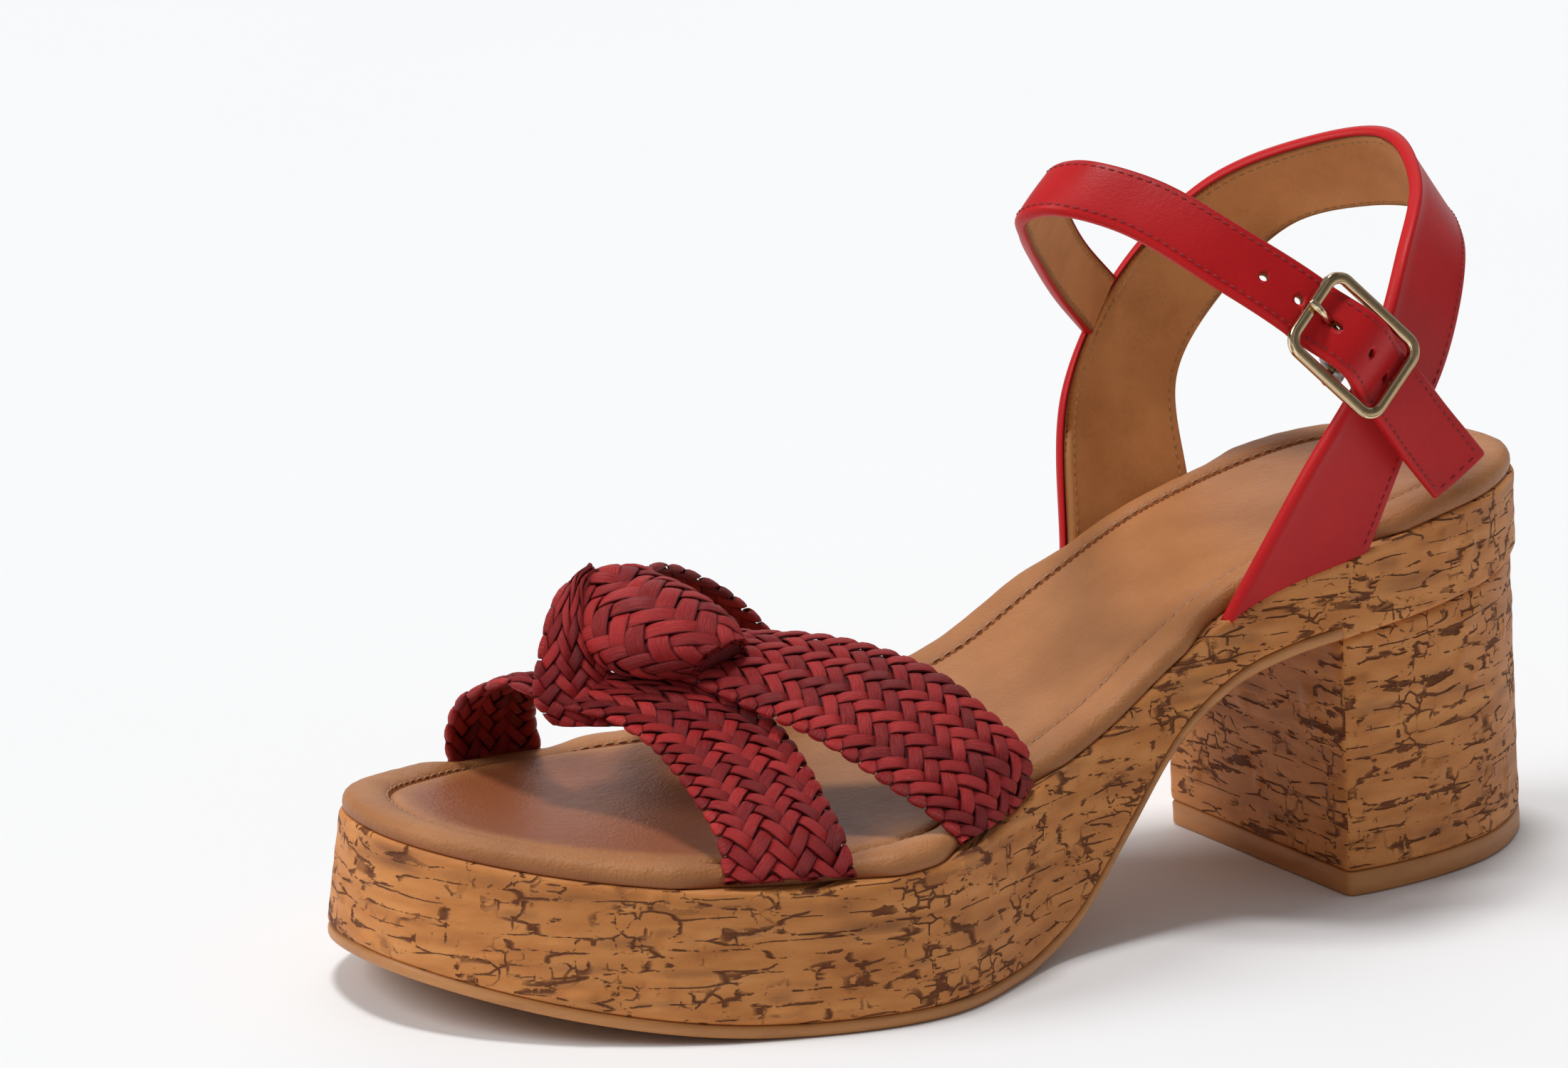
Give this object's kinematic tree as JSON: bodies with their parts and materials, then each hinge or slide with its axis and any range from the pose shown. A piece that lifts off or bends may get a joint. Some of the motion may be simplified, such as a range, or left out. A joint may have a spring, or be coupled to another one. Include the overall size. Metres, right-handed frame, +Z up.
{
  "type": "wedge sandal",
  "caption": "Open-toed platform sandal with a block heel, woven straps crossing under a knot, and a buckled ankle strap that holds the heel.",
  "frame": {"origin": "middle of the bounding box at ground level", "axes": "+X to the outer side of the left foot, +Y from the toe to the heel, +Z up"},
  "size_m": [0.1146, 0.2616, 0.1469],
  "materials": {
    "cork": "natural cork with dark fissures, satin sealed",
    "sole_rubber": "smooth satin",
    "steel": "plain steel, hidden inside",
    "footbed_leather": "tan grained leather, satin, darker where it is burnished",
    "board": "fibre board, hidden inside",
    "foam": "foam, hidden inside",
    "red_leather": "smooth leather, semi-gloss",
    "tan_lining": "plain lining leather, matt",
    "woven_leather": "narrow polished strips plaited on the slant",
    "elastic": "ribbed elastic, matt",
    "buckle_metal": "pale gold plate, polished"
  },
  "bodies": {
    "sandal": {"outsole": "sole_rubber", "platform_midsole": "cork", "shank": "steel", "heel_screw": "steel", "heel_nail_1": "steel", "heel_nail_2": "steel", "heel_nail_3": "steel", "heel_nail_4": "steel", "heel_block": "cork", "heel_top_piece": "sole_rubber", "footbed_rim": "footbed_leather", "insole_board": "board", "footbed_foam": "foam", "sock_lining": "footbed_leather", "sling_outer": "red_leather", "sling_lining": "tan_lining", "woven_strap_rear": "woven_leather", "woven_strap_front": "woven_leather", "knot_wrap": "woven_leather"},
    "ankle_loop": {"ankle_strap": "red_leather", "ankle_strap_lining": "tan_lining", "elastic_gore": "elastic"},
    "buckle": {"buckle_frame": "buckle_metal"},
    "prong": {"buckle_prong": "buckle_metal"}
  },
  "joints": [
    {"name": "ankle_loop_swing", "type": "hinge", "parent": "sandal", "child": "ankle_loop", "pos_m": [-0.04551, 0.0619, 0.1042], "axis": [0.9839, 0.1353, 0.117], "range_deg": [-12, 25]},
    {"name": "buckle_rock", "type": "hinge", "parent": "ankle_loop", "child": "buckle", "pos_m": [0.03959, 0.06163, 0.11327], "axis": [-0.0914, 0.7025, 0.7058], "range_deg": [-1, 1]},
    {"name": "prong_lift", "type": "hinge", "parent": "buckle", "child": "prong", "pos_m": [0.03959, 0.06163, 0.11327], "axis": [-0.0914, 0.7025, 0.7058], "range_deg": [0, 7]}
  ]
}
